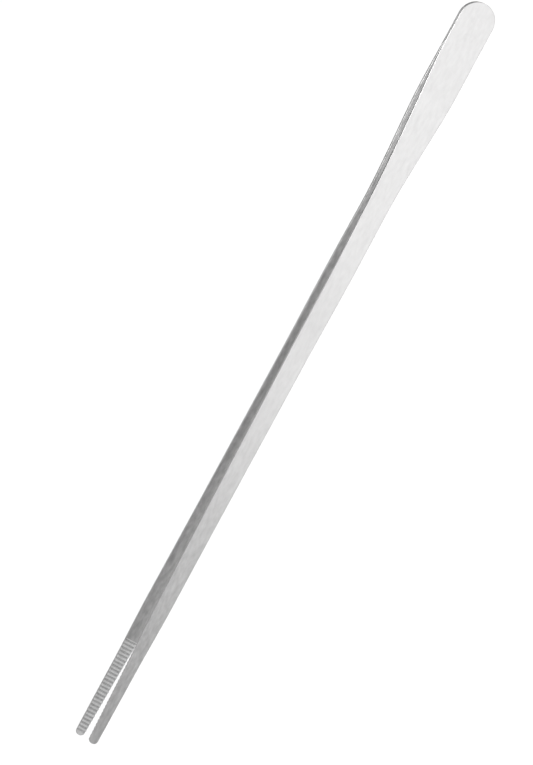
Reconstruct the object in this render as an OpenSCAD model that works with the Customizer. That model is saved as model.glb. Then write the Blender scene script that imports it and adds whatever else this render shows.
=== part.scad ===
// Long straight aquascaping tweezers: two spring-steel blades, spot-welded together at the head,
// with a wide grip, slender tapering shanks and cross-grooved jaws.
//
// X runs from the tips (-X) to the head (+X), Y is the way the blades open, and Z runs across
// the width of the blades, so the tweezers lie on their long edges. The origin is below the
// middle of the length, level with the lowest edges. In the functions, d is the distance from
// the tips, and the rear blade is drawn on the +Y side of the middle plane.

/* [Overall] */
// Length from the tips to the head
length = 270; // [250:1:300]
// Thickness of the steel sheet
sheet_t = 1; // [0.8:0.1:1.4]
// Gap between the tips with nothing squeezed
tip_gap = 13.6; // [12:0.2:16]
// Gap between the blades at the pivot
pivot_gap = 3.6; // [3:0.1:5]

/* [Width of a blade] */
// Width of the tips
tip_w = 3.05; // [2.6:0.05:3.5]
// Width of a jaw at its shoulder
jaw_w = 3.95; // [3.6:0.05:4.1]
// Distance from the tips to the shoulder, where the jaw starts to widen into the shank
shoulder_d = 28; // [24:1:36]
// Length of the shoulder
shoulder_len = 25; // [15:1:35]
// Width the shank's taper would have if it ran on to the tips
shank_front_w = 4.4; // [4.2:0.1:4.8]
// Width of the shank where the grip starts to flare
shank_back_w = 7.5; // [6.5:0.1:9]
// Width of the grip
grip_w = 12.5; // [11:0.5:15]
// Length from the start of the flare to the head
grip_len = 75; // [72:1:80]
// Length of the flare
flare_len = 60; // [50:1:62]

/* [Bend of a blade] */
// Length of the stretch that flexes, centred on the pivot
flex_len = 30; // [20:1:40]
// Distance from the head to the middle of that stretch
pivot_back = 75; // [70:1:85]
// Distance from the tips to the slight bend between the jaw and the shank
kink_d = 72; // [60:1:80]
// Length of that bend
kink_len = 40; // [20:2:44]
// How far each blade bows outwards in front of its grip
bow = 0.65; // [0:0.05:0.8]
// Distance from the head to the middle of that bow
bow_back = 98; // [94:1:104]
// Length of that bow
bow_len = 64; // [52:2:76]
// Distance from the head to where the grips start to close on each other
close_back = 40; // [40:1:44]
// Length over which they close
close_len = 24; // [20:1:24]

/* [Jaw grooves] */
// Number of grooves across each jaw
groove_n = 26; // [15:1:28]
// Distance from one groove to the next
groove_pitch = 1.31; // [1.2:0.01:1.4]
// Width of a groove at the jaw's face
groove_w = 0.66; // [0.5:0.02:0.8]
// Depth of a groove
groove_depth = 0.3; // [0.2:0.05:0.5]
// Distance from the tips to the first groove
groove_first = 1.6; // [1.2:0.1:3]

/* [Spot welds] */
// Number of spot welds
weld_n = 2; // [1:1:3]
// Diameter of a weld nugget
weld_d = 3.6; // [2.5:0.1:4.5]
// Thickness of a weld nugget, half of it in each blade
weld_t = 0.6; // [0.4:0.1:0.8]
// Distance between the welds
weld_pitch = 6; // [5:0.5:6]
// Distance from the head to the last weld
weld_back = 6.5; // [5:0.5:8]
// Depth of the mark that the welding tip leaves on the outside
mark_depth = 0.1; // [0.05:0.01:0.15]

/* [Hidden] */
$fn = 48;
pivot_d = length - pivot_back;
flex_start = pivot_d - flex_len / 2;
flex_end = pivot_d + flex_len / 2;
flare_start = length - grip_len;
tip_c = tip_w / 2;
jaw_slope = tip_gap / 2 / pivot_d;
kink_slope = pivot_gap / 2 / (pivot_d - kink_d);
shank_slope = jaw_slope - kink_slope;
kink_end = kink_d + kink_len / 2;
close_start = length - close_back;
bow_c = length - bow_back;
head_c = length - grip_w / 2;
station_step = 5;
arc_n = 24;
cut_reach = 1;
plan_reach = tip_gap + 2 * sheet_t;
groove_floor_w = groove_w * 0.6;
mark_d = weld_d * 0.8;
steel = [0.78, 0.78, 0.77];

// A smooth step from 0 to 1 as u goes from 0 to 1
function ease(u) = let (v = min(max(u, 0), 1)) v * v * (3 - 2 * v);
function mix(a, b, u) = a + (b - a) * u;

// Width of a blade: the tapering jaw and shank, then the grip, each easing into the next
function taper_w(d) = mix(tip_w, jaw_w, (d - tip_c) / (shoulder_d - tip_c));
function shank_w(d) = mix(shank_front_w, shank_back_w, d / flare_start);
function slim_w(d) = mix(taper_w(d), shank_w(d), ease((d - shoulder_d) / shoulder_len));
function blade_w(d) = mix(slim_w(d), grip_w, ease((d - flare_start) / flare_len));

// How far a line with a bend of length len, ending at d1, has risen at d, for each unit of slope
function bend_y(d, d1, len) = d > d1 ? 0 : d > d1 - len ? pow(d1 - d, 2) / (2 * len) : d1 - len / 2 - d;

// Height of the inner face off the middle plane: the closing grip, the bow, the shank, then the jaw.
// The jaw's slope points at the pivot, so the jaws meet flat when they are squeezed.
function grip_y(d) = pivot_gap / 2 * (1 - ease((d - close_start) / close_len));
function bow_u(d) = min(max((d - bow_c) / bow_len + 0.5, 0), 1);
function bow_y(d) = bow * pow(sin(180 * bow_u(d)), 2);
function shank_y(d) = shank_slope * bend_y(d, flex_end, flex_len);
function jaw_y(d) = kink_slope * bend_y(d, kink_end, kink_len);
function inner_y(d) = grip_y(d) + bow_y(d) + shank_y(d) + jaw_y(d);

// Evenly spaced stations from d0 to d1, and the same in reverse
function stations(d0, d1) = let (n = ceil((d1 - d0) / station_step)) [for (i = [0 : n]) mix(d0, d1, i / n)];
function reversed(list) = [for (i = [len(list) - 1 : -1 : 0]) list[i]];

module side_profile(d0, d1) {
    ds = stations(d0, d1);
    inner = [for (d = ds) [d, inner_y(d)]];
    outer = [for (d = reversed(ds)) [d, inner_y(d) + sheet_t]];
    polygon(concat(inner, outer));
}

// Points of an arc about [c, 0], between its two ends, as the angle turns from a0 to a1
function arc_angles(a0, a1) = [for (i = [1 : arc_n - 1]) mix(a0, a1, i / arc_n)];
function arc(c, r, a0, a1) = [for (a = arc_angles(a0, a1)) [c + r * cos(a), r * sin(a)]];

// Outline of the sheet between d0 and d1, with the points of a rounded front or back end
module plan_outline(d0, d1, front_end = [], back_end = []) {
    ds = stations(d0, d1);
    upper = [for (d = ds) [d, blade_w(d) / 2]];
    lower = [for (d = reversed(ds)) [d, -blade_w(d) / 2]];
    polygon(concat(upper, back_end, lower, front_end));
}

// The stretch of blade between d0 and d1, cut to the plan outline given as children
module blade_stretch(d0, d1) {
    intersection() {
        linear_extrude(height = grip_w + 2 * cut_reach, center = true) side_profile(d0, d1);
        rotate([90, 0, 0]) linear_extrude(height = 2 * plan_reach, center = true) children();
    }
}

// Groove section, with sloping flanks, cut into the inner face
module groove_section() {
    polygon([
        [-groove_w / 2, -cut_reach],
        [groove_w / 2, -cut_reach],
        [groove_w / 2, 0],
        [groove_floor_w / 2, groove_depth],
        [-groove_floor_w / 2, groove_depth],
        [-groove_w / 2, 0]
    ]);
}

module jaw_grooves() {
    for (i = [0 : groove_n - 1]) {
        d = groove_first + i * groove_pitch;
        translate([d, inner_y(d), 0]) linear_extrude(height = grip_w, center = true) groove_section();
    }
}

// A disc with its axis along Y at each spot weld, from y0 to y1
module weld_discs(diameter, y0, y1) {
    for (i = [0 : weld_n - 1]) {
        d = length - weld_back - i * weld_pitch;
        translate([d, y1, 0]) rotate([90, 0, 0]) cylinder(h = y1 - y0, d = diameter);
    }
}

module blade_arm() {
    difference() {
        blade_stretch(-cut_reach, flex_start)
            plan_outline(tip_c, flex_start, front_end = arc(tip_c, tip_w / 2, -90, -270));
        jaw_grooves();
    }
}

module blade_spring() {
    blade_stretch(flex_start, flex_end) plan_outline(flex_start, flex_end);
}

module blade_grip() {
    difference() {
        blade_stretch(flex_end, length + cut_reach)
            plan_outline(flex_end, head_c, back_end = arc(head_c, grip_w / 2, 90, -90));
        weld_discs(weld_d, -cut_reach, weld_t / 2);
        weld_discs(mark_d, sheet_t - mark_depth, sheet_t + cut_reach);
    }
}

// Moves a piece from the blade's own place into the frame
module placed() {
    translate([-length / 2, 0, grip_w / 2]) children();
}

module placed_front() {
    placed() mirror([0, 1, 0]) children();
}

module front_arm() { color(steel) placed_front() blade_arm(); }
module rear_arm() { color(steel) placed() blade_arm(); }
module front_spring() { color(steel) placed_front() blade_spring(); }
module rear_spring() { color(steel) placed() blade_spring(); }
module front_grip() { color(steel) placed_front() blade_grip(); }
module rear_grip() { color(steel) placed() blade_grip(); }
module weld_spots() { color("dimgray") placed() weld_discs(weld_d, -weld_t / 2, weld_t / 2); }

front_arm();
rear_arm();
front_spring();
rear_spring();
front_grip();
rear_grip();
weld_spots();
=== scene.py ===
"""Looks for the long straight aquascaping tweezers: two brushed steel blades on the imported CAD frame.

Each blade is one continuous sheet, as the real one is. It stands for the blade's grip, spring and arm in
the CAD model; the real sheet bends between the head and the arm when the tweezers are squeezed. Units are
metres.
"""

import math

import bmesh
import bpy
import numpy as np
from mathutils import Matrix, Vector


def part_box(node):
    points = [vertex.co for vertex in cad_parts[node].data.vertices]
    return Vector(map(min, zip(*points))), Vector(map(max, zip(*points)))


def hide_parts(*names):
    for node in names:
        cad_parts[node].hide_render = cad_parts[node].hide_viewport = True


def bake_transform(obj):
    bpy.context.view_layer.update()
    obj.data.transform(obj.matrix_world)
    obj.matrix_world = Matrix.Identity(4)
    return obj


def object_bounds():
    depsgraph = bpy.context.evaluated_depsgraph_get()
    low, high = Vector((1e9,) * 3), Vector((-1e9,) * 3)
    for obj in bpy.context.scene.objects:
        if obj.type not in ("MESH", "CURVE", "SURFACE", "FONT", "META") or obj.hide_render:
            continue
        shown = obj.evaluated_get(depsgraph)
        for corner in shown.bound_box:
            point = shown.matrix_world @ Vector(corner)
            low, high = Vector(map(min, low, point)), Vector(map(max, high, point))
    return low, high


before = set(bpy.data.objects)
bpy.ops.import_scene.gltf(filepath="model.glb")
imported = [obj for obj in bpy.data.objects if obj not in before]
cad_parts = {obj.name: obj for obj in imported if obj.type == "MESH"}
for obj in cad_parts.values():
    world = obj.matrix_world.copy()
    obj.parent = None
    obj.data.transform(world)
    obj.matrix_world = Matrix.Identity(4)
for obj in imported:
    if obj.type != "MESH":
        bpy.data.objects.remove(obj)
cad_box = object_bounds()

# ---------------------------------------------------------------- sizes of a blade, as in the CAD model
MM = 0.001
SHEET_T = 1.0 * MM          # thickness of the sheet
PIVOT_GAP = 3.6 * MM        # between the blades at the hinges, without the bow
TIP_W = 3.05 * MM           # width at the round tip
JAW_W = 3.95 * MM           # width at the back of the jaw
SHOULDER_D = 28.0 * MM      # from the tips to the start of the step from jaw to shank
SHOULDER_LEN = 25.0 * MM    # length of that step
SHANK_FRONT_W = 4.4 * MM    # width of the shank's taper, carried on to the tips
SHANK_BACK_W = 7.5 * MM     # width of the shank where the grip starts
GRIP_LEN = 75.0 * MM        # from the start of the grip to the head
FLARE_LEN = 60.0 * MM       # length over which the shank widens into the grip
KINK_D = 72.0 * MM          # from the tips to the middle of the slight bend behind the jaw
KINK_LEN = 40.0 * MM        # length of that bend
BOW = 0.65 * MM             # how far a blade bows out in front of the grip
BOW_BACK = 98.0 * MM        # from the head to the middle of the bow
BOW_LEN = 64.0 * MM         # length of the bow
CLOSE_BACK = 40.0 * MM      # from the head to where the grips start to close
CLOSE_LEN = 24.0 * MM       # length over which they close
GROOVE_N = 26               # cross grooves on each jaw
GROOVE_PITCH = 1.31 * MM
GROOVE_W = 0.66 * MM        # width at the face
GROOVE_FLOOR_W = 0.4 * MM
GROOVE_DEPTH = 0.3 * MM
GROOVE_FIRST = 1.6 * MM     # from the tips to the middle of the first groove
WELD_N = 2                  # spot welds, each with a dent in the outer faces
WELD_PITCH = 6.0 * MM
WELD_BACK = 6.5 * MM        # from the head to the middle of the first weld
MARK_R = 1.45 * MM          # radius of a dent
MARK_RIM = 0.35 * MM        # width of its sloping rim
MARK_DEPTH = 0.1 * MM
EDGE_R = 0.12 * MM          # rounding of the long edges
SEAM_GAP = 0.02 * MM        # keeps each blade off the middle plane, so that the two share no face

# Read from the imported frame, or worked out from what is read.
grip_low, grip_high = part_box("rear_grip")
arm_low, arm_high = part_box("rear_arm")
spring_low, spring_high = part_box("rear_spring")
TIP_X = arm_low.x
HEAD_X = grip_high.x
LENGTH = HEAD_X - TIP_X
GRIP_W = grip_high.z - grip_low.z
MID_Z = (grip_high.z + grip_low.z) / 2
FLEX_START = spring_low.x - TIP_X
FLEX_END = spring_high.x - TIP_X
FLEX_LEN = FLEX_END - FLEX_START
PIVOT_D = (FLEX_START + FLEX_END) / 2
JAW_SLOPE = (arm_high.y - SHEET_T) / PIVOT_D    # of the inner face, against the middle plane
KINK_SLOPE = PIVOT_GAP / 2 / (PIVOT_D - KINK_D)
SHANK_SLOPE = JAW_SLOPE - KINK_SLOPE
FLARE_START = LENGTH - GRIP_LEN
CLOSE_START = LENGTH - CLOSE_BACK
JAW_LEN = GROOVE_FIRST + GROOVE_N * GROOVE_PITCH - GROOVE_W / 2

# ---------------------------------------------------------------- fineness of a blade's mesh
FACE_STEPS = 22             # strips across a face
FACE_REACH = 0.965          # outermost inner row of a face, as a share of its half width
CORNER_STEPS = 4            # strips in the rounding of a long edge
ARC_STEPS = 14              # sections in each round end
GROOVE_FRACTIONS = (-1.0, -0.86, -0.72, -0.58, -0.45, 0.0, 0.45, 0.58, 0.72, 0.86, 1.0)
SHANK_STEP = 2.2 * MM       # between sections along the shank and the grip
WELD_STEP = 0.35 * MM       # between sections at the weld marks
MERGE = 1e-7                # points closer than this become one
SHARP_ANGLE = math.radians(40)

# The surfaces of a blade, in the order of its material slots.
OUTER, INNER, LAND, GROOVE, EDGE = range(5)

# ---------------------------------------------------------------- marks in the steel
NOISE_LOW, NOISE_HIGH = 0.3, 0.7            # the part of 0 to 1 that a noise really fills
NOISE_MIDDLE = 0.5
NOISE_DETAIL = 3.0
BRUSH_SCALE = (160.0, 9000.0, 9000.0)       # fine lines along the blade
GRIND_SCALE = (250.0, 3000.0, 3000.0)       # grinding marks, turned by an angle of each steel's own
CLOUD_SCALE = (350.0, 1000.0, 1000.0)       # faint blotches
CLOUD_TURN = 30.0
CLOUD_DETAIL = 2.0
GRIND_SHARE = 0.45                          # of the grinding marks, next to the fine lines
CLOUD_SHARE = 0.6                           # of the blotches, next to both
BUMP_DISTANCE = 0.02 * MM
MARKS_SPAN = (0.08, 0.45)                   # where the marks weaken, in shares of the length from the tips
PAINTED_LIGHT_SPAN = (0.6, 0.75)                     # where painted light or shade is scaled into the colour towards the head, in the same shares

# ---------------------------------------------------------------- floor, lights and camera
FLOOR_DROP = 0.35           # below the tweezers, which float
FLOOR_HALF = 15.0
FLOOR_GRAIN = (400.0, 400.0, 400.0)
FLOOR_LOW, FLOOR_HIGH = (0.90, 0.90, 0.90), (0.93, 0.93, 0.93)
FLOOR_ROUGHNESS = 0.9
FLOOR_SPECULAR = 0.2
WORLD_STRENGTH = 0.55
LIGHTS = {                  # powers in watts
    "head_light": dict(at=(0.11, -0.065, 0.085), aim=(0.095, 0, 0.01), size=(0.06, 0.08), power=0.17),
    "fill": dict(at=(0.25, -1.2, 0.7), aim=(0.1, 0, 0), size=(1.2, 0.5), power=3.0),
    "panel": dict(at=(0.156, -0.254, -0.092), aim=(0.156, 0, 0.0), size=(0.408, 0.2), power=0.335),
    "back": dict(at=(0.0, 2.3, 0.3), aim=(0, 2.3, -0.35), size=(6.0, 4.0), power=43.0, spread_deg=60.0),
}
CAMERA_TILT = math.radians(20.0)    # above the level of the tweezers
CAMERA_ROLL = math.radians(61.45)
CAMERA_DISTANCE = 4.0
VIEW_HEIGHT = 246.8 * MM            # what the picture's height covers at the tweezers
SENSOR = 36.0                       # in millimetres, as Blender has it
AIM_D = 129.0 * MM                  # from the tips to the point looked at
AIM_ACROSS = -3.55 * MM             # the same point, across the tweezers as the camera sees them


# ---------------------------------------------------------------- the shape of a blade
def ease(u):
    """A smooth step from 0 to 1."""
    v = min(max(u, 0.0), 1.0)
    return v * v * (3 - 2 * v)


def mix(a, b, u):
    """The value at share u of the way from a to b."""
    return a + (b - a) * u


def blade_w(d):
    """Width of the sheet at distance d from the tips, between the round ends."""
    jaw = mix(TIP_W, JAW_W, (d - TIP_W / 2) / (SHOULDER_D - TIP_W / 2))
    shank = mix(SHANK_FRONT_W, SHANK_BACK_W, d / FLARE_START)
    slim = mix(jaw, shank, ease((d - SHOULDER_D) / SHOULDER_LEN))
    return mix(slim, GRIP_W, ease((d - FLARE_START) / FLARE_LEN))


def bend_y(d, end, length):
    """How far a line with a bend of this length, ending at end, has risen at d, for each unit of slope."""
    if d > end:
        return 0.0
    if d > end - length:
        return (end - d) ** 2 / (2 * length)
    return end - length / 2 - d


def inner_y(d):
    """How far the inner face stands off the middle plane."""
    grip = PIVOT_GAP / 2 * (1 - ease((d - CLOSE_START) / CLOSE_LEN))
    bow = BOW * math.sin(math.pi * min(max((d - LENGTH + BOW_BACK) / BOW_LEN + 0.5, 0.0), 1.0)) ** 2
    shank = SHANK_SLOPE * bend_y(d, FLEX_END, FLEX_LEN)
    jaw = KINK_SLOPE * bend_y(d, KINK_D + KINK_LEN / 2, KINK_LEN)
    return grip + bow + shank + jaw + SEAM_GAP


def groove(d):
    """Depth of the jaw's cross grooves at distance d from the tips."""
    i = min(max(round((d - GROOVE_FIRST) / GROOVE_PITCH), 0), GROOVE_N - 1)
    off = abs(d - GROOVE_FIRST - i * GROOVE_PITCH)
    return GROOVE_DEPTH * ease((GROOVE_W / 2 - off) / ((GROOVE_W - GROOVE_FLOOR_W) / 2))


def weld_mark(d, u):
    """Depth of the dents that the welding tips left on the outer face, at u across from its middle."""
    depth = 0.0
    for i in range(WELD_N):
        r = math.hypot(d - (LENGTH - WELD_BACK - i * WELD_PITCH), u)
        depth = max(depth, MARK_DEPTH * ease((MARK_R - r) / MARK_RIM))
    return depth


# ---------------------------------------------------------------- the mesh of a blade
def stations():
    """Distances from the tips at which the outline between the two round ends is sampled."""
    first, last = TIP_W / 2, LENGTH - GRIP_W / 2
    ds = [first, last]
    for i in range(GROOVE_N):
        centre = GROOVE_FIRST + i * GROOVE_PITCH
        ds += [centre + f * GROOVE_W / 2 for f in GROOVE_FRACTIONS]
        ds += [centre + GROOVE_PITCH / 2]
    jaw_end = GROOVE_FIRST + GROOVE_N * GROOVE_PITCH
    weld_start = LENGTH - WELD_BACK - WELD_N * WELD_PITCH
    ds += list(np.arange(jaw_end, weld_start, SHANK_STEP))
    ds += list(np.arange(weld_start, last, WELD_STEP))
    return sorted(d for d in set(ds) if first <= d <= last)


def ring_rows():
    """The points round a section: (place across from -1 to 1, inset from the outline, face, depth)."""
    across = [-1.0, *np.linspace(-FACE_REACH, FACE_REACH, FACE_STEPS - 1), 1.0]
    corner = [math.pi / 2 * i / CORNER_STEPS for i in range(1, CORNER_STEPS + 1)]
    bend = [(EDGE_R * (1 - math.sin(a)), EDGE_R * (1 - math.cos(a))) for a in corner]
    rows = [(f, EDGE_R, "in", 0.0) for f in across]
    rows += [(1.0, inset, "in", depth) for inset, depth in bend]
    rows += [(1.0, inset, "out", depth) for inset, depth in reversed(bend)]
    rows += [(f, EDGE_R, "out", 0.0) for f in reversed(across)]
    rows += [(-1.0, inset, "out", depth) for inset, depth in bend]
    rows += [(-1.0, inset, "in", depth) for inset, depth in reversed(bend)]
    return rows


def section_places():
    """For each section, a function from an inset to (distance from the tips, half width)."""
    def round_end(centre, radius, toward, angle):
        """A section at an angle from the end's outermost point. toward is -1 at the tip, 1 at the head."""
        return lambda inset: (
            centre + toward * (radius - inset) * math.cos(angle),
            (radius - inset) * math.sin(angle),
        )

    def straight(d):
        """A section between the round ends."""
        return lambda inset: (d, blade_w(d) / 2 - inset)

    angles = [math.pi / 2 * i / ARC_STEPS for i in range(ARC_STEPS)]
    front = [round_end(TIP_W / 2, TIP_W / 2, -1, a) for a in angles]
    back = [round_end(LENGTH - GRIP_W / 2, GRIP_W / 2, 1, a) for a in reversed(angles)]
    return front + [straight(d) for d in stations()] + back


def surface_of(row, after, d):
    """Which surface the strip between two rows of a section belongs to, at distance d from the tips."""
    if row[3] + after[3] > EDGE_R / 2:
        return EDGE
    if row[2] == "out":
        return OUTER
    if groove(d) > GROOVE_DEPTH / 2:
        return GROOVE
    return LAND if d < JAW_LEN else INNER


def section_points(place, rows, side):
    """The points of one section. side is 1 for the rear blade and -1 for the front one."""
    points = []
    for across, inset, face, depth in rows:
        d, half = place(inset)
        u = across * half
        if face == "in":
            v = inner_y(d) + groove(d) + depth
        else:
            v = inner_y(d) + SHEET_T - weld_mark(d, u) - depth
        points.append((TIP_X + d, side * v, MID_Z + u))
    return points


def blade_mesh(name, side):
    """One blade as a closed mesh. side is 1 for the rear blade and -1 for the front one."""
    rows, places = ring_rows(), section_places()
    points = [point for place in places for point in section_points(place, rows, side)]
    n = len(rows)
    faces, surfaces = [], []
    for j in range(len(places) - 1):
        middle = (places[j](0.0)[0] + places[j + 1](0.0)[0]) / 2
        for k in range(n):
            after = (k + 1) % n
            faces.append((j * n + k, j * n + after, (j + 1) * n + after, (j + 1) * n + k))
            surfaces.append(surface_of(rows[k], rows[after], middle))
    mesh = bpy.data.meshes.new(name)
    mesh.from_pydata(points, [], faces)
    mesh.polygons.foreach_set("material_index", surfaces)
    bm = bmesh.new()
    bm.from_mesh(mesh)
    bmesh.ops.remove_doubles(bm, verts=bm.verts, dist=MERGE)
    bmesh.ops.recalc_face_normals(bm, faces=bm.faces)
    bm.to_mesh(mesh)
    bm.free()
    mesh.shade_smooth()
    mesh.set_sharp_from_angle(angle=SHARP_ANGLE)
    blade = bpy.data.objects.new(name, mesh)
    bpy.context.scene.collection.objects.link(blade)
    return blade


# ---------------------------------------------------------------- materials
def new_material(name):
    """An empty node material, with its Principled shader."""
    material = bpy.data.materials.new(name)
    material.use_nodes = True
    nodes = material.node_tree.nodes
    nodes.clear()
    output = nodes.new("ShaderNodeOutputMaterial")
    shader = nodes.new("ShaderNodeBsdfPrincipled")
    material.node_tree.links.new(shader.outputs["BSDF"], output.inputs["Surface"])
    return material, nodes, material.node_tree.links, shader


def streaks(nodes, links, coords, turn, scale, detail=NOISE_DETAIL):
    """Noise with its own scale on each axis, turned by an angle in the plane of the blades' faces."""
    mapping = nodes.new("ShaderNodeMapping")
    mapping.inputs["Rotation"].default_value = (0.0, math.radians(turn), 0.0)
    mapping.inputs["Scale"].default_value = scale
    links.new(coords.outputs["Object"], mapping.inputs["Vector"])
    noise = nodes.new("ShaderNodeTexNoise")
    noise.inputs["Scale"].default_value = 1.0
    noise.inputs["Detail"].default_value = detail
    links.new(mapping.outputs["Vector"], noise.inputs["Vector"])
    return noise.outputs["Fac"]


def ramp(nodes, links, value, low, high):
    """Turns a noise into a colour between low and high."""
    colours = nodes.new("ShaderNodeValToRGB")
    ends = colours.color_ramp.elements
    ends[0].position = NOISE_LOW
    ends[0].color = (*low, 1.0)
    ends[1].position = NOISE_HIGH
    ends[1].color = (*high, 1.0)
    links.new(value, colours.inputs["Fac"])
    return colours.outputs["Color"]


def map_range(nodes, links, value, source, target):
    """Maps a value from the pair source to the pair target, and holds it beyond the ends."""
    node = nodes.new("ShaderNodeMapRange")
    node.inputs["From Min"].default_value = source[0]
    node.inputs["From Max"].default_value = source[1]
    node.inputs["To Min"].default_value = target[0]
    node.inputs["To Max"].default_value = target[1]
    links.new(value, node.inputs["Value"])
    return node.outputs["Result"]


def toward_head(nodes, links, coords, span, at_head):
    """A factor that goes from 1 to at_head over span, a pair of shares of the length from the tips."""
    place = nodes.new("ShaderNodeSeparateXYZ")
    links.new(coords.outputs["Object"], place.inputs["Vector"])
    source = (TIP_X + span[0] * LENGTH, TIP_X + span[1] * LENGTH)
    return map_range(nodes, links, place.outputs["X"], source, (1.0, at_head))


def blend_noises(nodes, links, first, second, share):
    """A mix of two noises, with this share of the second."""
    node = nodes.new("ShaderNodeMix")
    node.inputs["Factor"].default_value = share
    links.new(first, node.inputs["A"])
    links.new(second, node.inputs["B"])
    return node.outputs["Result"]


def weaken(nodes, links, noise, strength):
    """A noise drawn towards its middle, the more so the lower its strength."""
    node = nodes.new("ShaderNodeMix")
    links.new(strength, node.inputs["Factor"])
    node.inputs["A"].default_value = NOISE_MIDDLE
    links.new(noise, node.inputs["B"])
    return node.outputs["Result"]


def scale_colour(nodes, links, colour, factor):
    """A colour times a factor."""
    node = nodes.new("ShaderNodeVectorMath")
    node.operation = "SCALE"
    links.new(colour, node.inputs[0])
    links.new(factor, node.inputs["Scale"])
    return node.outputs["Vector"]


def brushed_steel(name, low, high, rough, bump, grind_turn,
                  marks_at_head=0.35, painted_light_at_head=1.0, painted_light_span=PAINTED_LIGHT_SPAN):
    """Stainless steel with lengthwise brushing under grinding marks and faint blotches.

    low and high are the ends of its colour, and rough the ends of its roughness. bump is the strength of
    the relief, and grind_turn the angle of the grinding marks in degrees. Towards the head, the marks'
    contrast falls to marks_at_head, and over a span of the length the colour is scaled by a factor:
    painted light where that factor is above 1, painted shade where it is below 1.
    """
    material, nodes, links, shader = new_material(name)
    coords = nodes.new("ShaderNodeTexCoord")
    shader.inputs["Metallic"].default_value = 1.0
    fine = streaks(nodes, links, coords, 0.0, BRUSH_SCALE)
    grind = streaks(nodes, links, coords, grind_turn, GRIND_SCALE)
    cloud = streaks(nodes, links, coords, CLOUD_TURN, CLOUD_SCALE, CLOUD_DETAIL)
    lines = blend_noises(nodes, links, fine, grind, GRIND_SHARE)
    marks = blend_noises(nodes, links, lines, cloud, CLOUD_SHARE)
    worn = weaken(nodes, links, marks, toward_head(nodes, links, coords, MARKS_SPAN, marks_at_head))
    colour = ramp(nodes, links, worn, low, high)
    # Painted light or shade: the colour is scaled along the length towards the head.
    painted_light = toward_head(nodes, links, coords, painted_light_span, painted_light_at_head)
    links.new(scale_colour(nodes, links, colour, painted_light), shader.inputs["Base Color"])
    roughness = map_range(nodes, links, grind, (NOISE_LOW, NOISE_HIGH), rough)
    links.new(roughness, shader.inputs["Roughness"])
    relief = nodes.new("ShaderNodeBump")
    relief.inputs["Strength"].default_value = bump
    relief.inputs["Distance"].default_value = BUMP_DISTANCE
    links.new(lines, relief.inputs["Height"])
    links.new(relief.outputs["Normal"], shader.inputs["Normal"])
    return material


def floor_paper():
    """Pale matt studio paper."""
    material, nodes, links, shader = new_material("floor_paper")
    coords = nodes.new("ShaderNodeTexCoord")
    grain = streaks(nodes, links, coords, 0.0, FLOOR_GRAIN)
    links.new(ramp(nodes, links, grain, FLOOR_LOW, FLOOR_HIGH), shader.inputs["Base Color"])
    shader.inputs["Roughness"].default_value = FLOOR_ROUGHNESS
    shader.inputs["Specular IOR Level"].default_value = FLOOR_SPECULAR
    return material


# ---------------------------------------------------------------- camera, floor and lights
def add_camera():
    """Looks at the front blade from a little above, rolled so that the tips are at the lower left."""
    toward = Vector((0, -math.cos(CAMERA_TILT), math.sin(CAMERA_TILT)))
    along = Vector((1, 0, 0))
    across = Vector((0, -math.sin(CAMERA_TILT), -math.cos(CAMERA_TILT)))
    right = along * math.cos(CAMERA_ROLL) + across * math.sin(CAMERA_ROLL)
    up = along * math.sin(CAMERA_ROLL) - across * math.cos(CAMERA_ROLL)
    aim = Vector((TIP_X + AIM_D, 0, MID_Z)) + across * AIM_ACROSS
    data = bpy.data.cameras.new("camera")
    data.sensor_width = SENSOR
    data.lens = SENSOR * CAMERA_DISTANCE / VIEW_HEIGHT
    camera = bpy.data.objects.new("camera", data)
    turned = Matrix((right, up, toward)).transposed().to_4x4()
    camera.matrix_world = Matrix.Translation(aim + toward * CAMERA_DISTANCE) @ turned
    bpy.context.scene.collection.objects.link(camera)
    bpy.context.scene.camera = camera


def add_floor():
    """A square of paper well below the tweezers."""
    bm = bmesh.new()
    signs = ((-1, -1), (1, -1), (1, 1), (-1, 1))
    bm.faces.new([bm.verts.new((x * FLOOR_HALF, y * FLOOR_HALF, 0.0)) for x, y in signs])
    mesh = bpy.data.meshes.new("floor")
    bm.to_mesh(mesh)
    bm.free()
    floor = bpy.data.objects.new("floor", mesh)
    floor.location.z = cad_box[0].z - FLOOR_DROP
    floor.data.materials.append(floor_paper())
    bpy.context.scene.collection.objects.link(floor)


def add_world():
    """An even white light from all round."""
    world = bpy.data.worlds.new("world")
    world.use_nodes = True
    background = world.node_tree.nodes["Background"]
    background.inputs["Color"].default_value = (1.0, 1.0, 1.0, 1.0)
    background.inputs["Strength"].default_value = WORLD_STRENGTH
    bpy.context.scene.world = world


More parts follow.
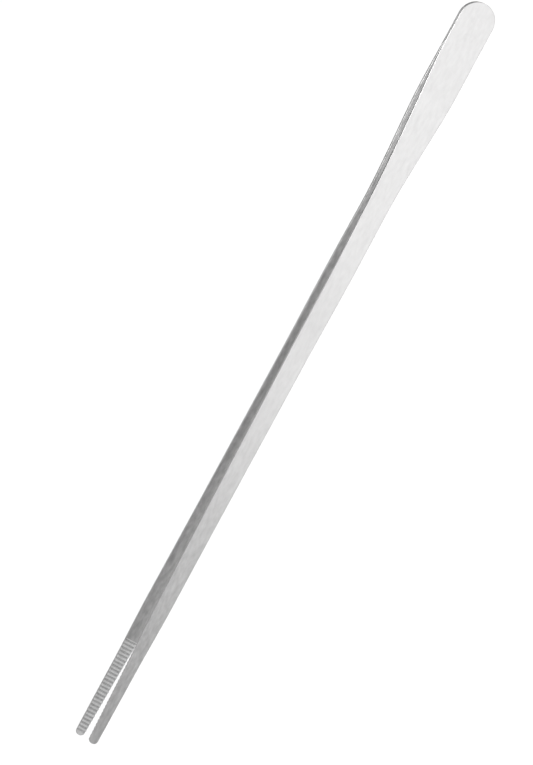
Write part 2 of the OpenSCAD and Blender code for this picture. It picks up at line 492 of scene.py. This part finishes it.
def add_area(name, at, aim, size, power, spread_deg=180.0):
    """A rectangular light that the camera doesn't see."""
    data = bpy.data.lights.new(name, "AREA")
    data.shape = "RECTANGLE"
    data.size, data.size_y = size
    data.energy = power
    data.spread = math.radians(spread_deg)
    light = bpy.data.objects.new(name, data)
    light.location = at
    light.visible_camera = False
    light.rotation_mode = "QUATERNION"
    light.rotation_quaternion = (Vector(at) - Vector(aim)).to_track_quat("Z", "Y")
    bpy.context.scene.collection.objects.link(light)


# ---------------------------------------------------------------- the object
outer_steel = brushed_steel(
    "blade_steel", (0.393, 0.39, 0.39), (0.613, 0.61, 0.61),
    rough=(0.33, 0.43), bump=0.25, grind_turn=62.0, marks_at_head=0.3,
)
# Its colour is painted lighter towards the head: painted light in the narrow gap between the blades.
inner_steel = brushed_steel(
    "blade_steel_inner", (0.357, 0.355, 0.355), (0.598, 0.595, 0.595),
    rough=(0.55, 0.65), bump=0.4, grind_turn=58.0,
    marks_at_head=1.0, painted_light_at_head=1.3, painted_light_span=(0.65, 0.8),
)
# The jaw's lands are lighter than the rest of the inner face: painted light on the open jaws.
land_steel_painted_light = brushed_steel(
    "jaw_land_painted_light", (0.62, 0.62, 0.62), (0.82, 0.82, 0.82),
    rough=(0.5, 0.6), bump=0.3, grind_turn=58.0,
)
# The grooves are darker than the lands: painted shade in the recesses.
groove_steel_painted_shade = brushed_steel(
    "jaw_groove_painted_shade", (0.48, 0.48, 0.48), (0.64, 0.64, 0.64),
    rough=(0.6, 0.7), bump=0.4, grind_turn=90.0,
)
# Its colour is painted darker towards the head: painted shade that takes down the head light's highlight
# on the edges.
edge_steel = brushed_steel(
    "blade_edge_steel", (0.503, 0.5, 0.5), (0.683, 0.68, 0.68),
    rough=(0.6, 0.7), bump=0.3, grind_turn=20.0, painted_light_at_head=0.5,
)
weld_steel = brushed_steel(
    "weld_steel", (0.34, 0.33, 0.32), (0.44, 0.43, 0.42),
    rough=(0.45, 0.6), bump=0.4, grind_turn=20.0,
)

for name, side in (("front", -1), ("rear", 1)):
    blade = blade_mesh(name + "_blade", side)
    for surface in (outer_steel, inner_steel, land_steel_painted_light, groove_steel_painted_shade, edge_steel):
        blade.data.materials.append(surface)
    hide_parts(name + "_grip", name + "_spring", name + "_arm")
    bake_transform(blade)

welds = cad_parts["weld_spots"]
welds.data.materials.clear()
welds.data.materials.append(weld_steel)

# ---------------------------------------------------------------- the studio
add_camera()
add_floor()
add_world()
for name, settings in LIGHTS.items():
    add_area(name, **settings)
bpy.context.scene.view_settings.view_transform = "Standard"
